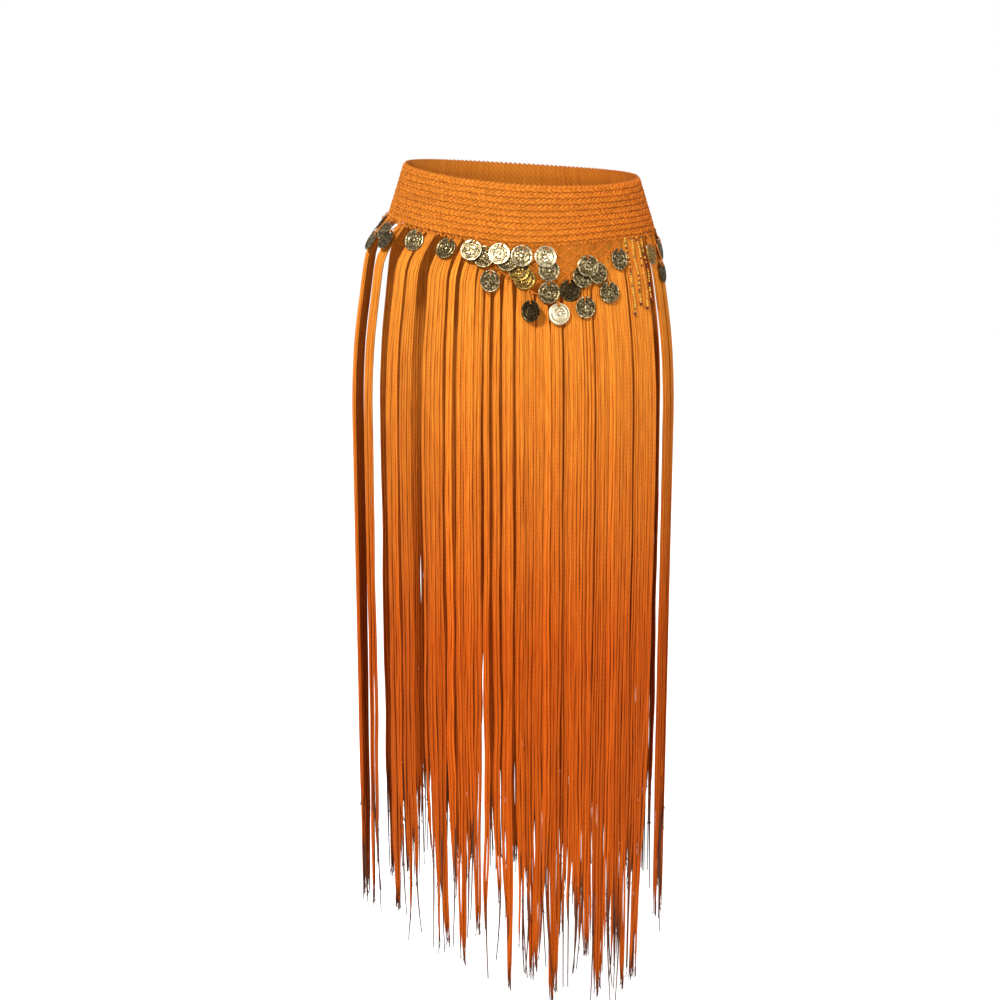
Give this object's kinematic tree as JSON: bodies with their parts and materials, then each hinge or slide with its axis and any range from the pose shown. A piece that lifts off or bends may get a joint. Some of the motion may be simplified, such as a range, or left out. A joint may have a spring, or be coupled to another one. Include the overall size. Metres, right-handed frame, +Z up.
{
  "type": "belly dance fringe skirt",
  "caption": "Long yarn fringe skirt on a ribbed knitted waistband, with a V-shaped net of metal coins at the front, a row of coins round the back and short bead strings.",
  "frame": {"origin": "middle of the waistband's opening, halfway up the band, where the waist holds it", "axes": "+Z up along the wearer, the front with the V-shaped coin net faces -Y, +X to the viewer's right"},
  "size_m": [0.35, 0.2616, 0.9203],
  "materials": {
    "band_yarn": "knitted, soft",
    "fringe_yarn": "soft flat yarn",
    "net_yarn": "crocheted, soft",
    "coins": "antiqued, stamped",
    "beads": "glossy"
  },
  "bodies": {
    "root": {"waistband": "band_yarn", "fringe_front_left": "fringe_yarn", "fringe_front_right": "fringe_yarn", "fringe_right_front": "fringe_yarn", "fringe_right_side": "fringe_yarn", "fringe_back_1": "fringe_yarn", "fringe_back_2": "fringe_yarn", "fringe_back_3": "fringe_yarn", "fringe_back_4": "fringe_yarn", "fringe_back_5": "fringe_yarn", "fringe_left_side": "fringe_yarn", "fringe_left_hip": "fringe_yarn", "fringe_left_front": "fringe_yarn", "coin_net": "net_yarn", "bead_strings": "beads", "net_coin_1": "coins", "net_coin_2": "coins", "net_coin_3": "coins", "net_coin_4": "coins", "net_coin_5": "coins", "net_coin_6": "coins", "net_coin_7": "coins", "net_coin_8": "coins", "net_coin_9": "coins", "net_coin_10": "coins", "net_coin_11": "coins", "net_coin_12": "coins", "net_coin_13": "coins", "net_coin_14": "coins", "net_coin_15": "coins", "net_coin_16": "coins", "net_coin_17": "coins", "net_coin_18": "coins", "net_coin_19": "coins", "net_coin_20": "coins", "row_coin_1": "coins", "row_coin_2": "coins", "row_coin_3": "coins", "row_coin_4": "coins", "row_coin_5": "coins", "row_coin_6": "coins", "row_coin_7": "coins", "row_coin_8": "coins", "row_coin_9": "coins", "row_coin_10": "coins", "row_coin_11": "coins", "row_coin_12": "coins", "row_coin_13": "coins", "row_coin_14": "coins", "row_coin_15": "coins", "row_coin_16": "coins", "row_coin_17": "coins", "row_coin_18": "coins", "row_coin_19": "coins", "row_coin_20": "coins", "row_coin_21": "coins", "row_coin_22": "coins"}
  },
  "joints": []
}
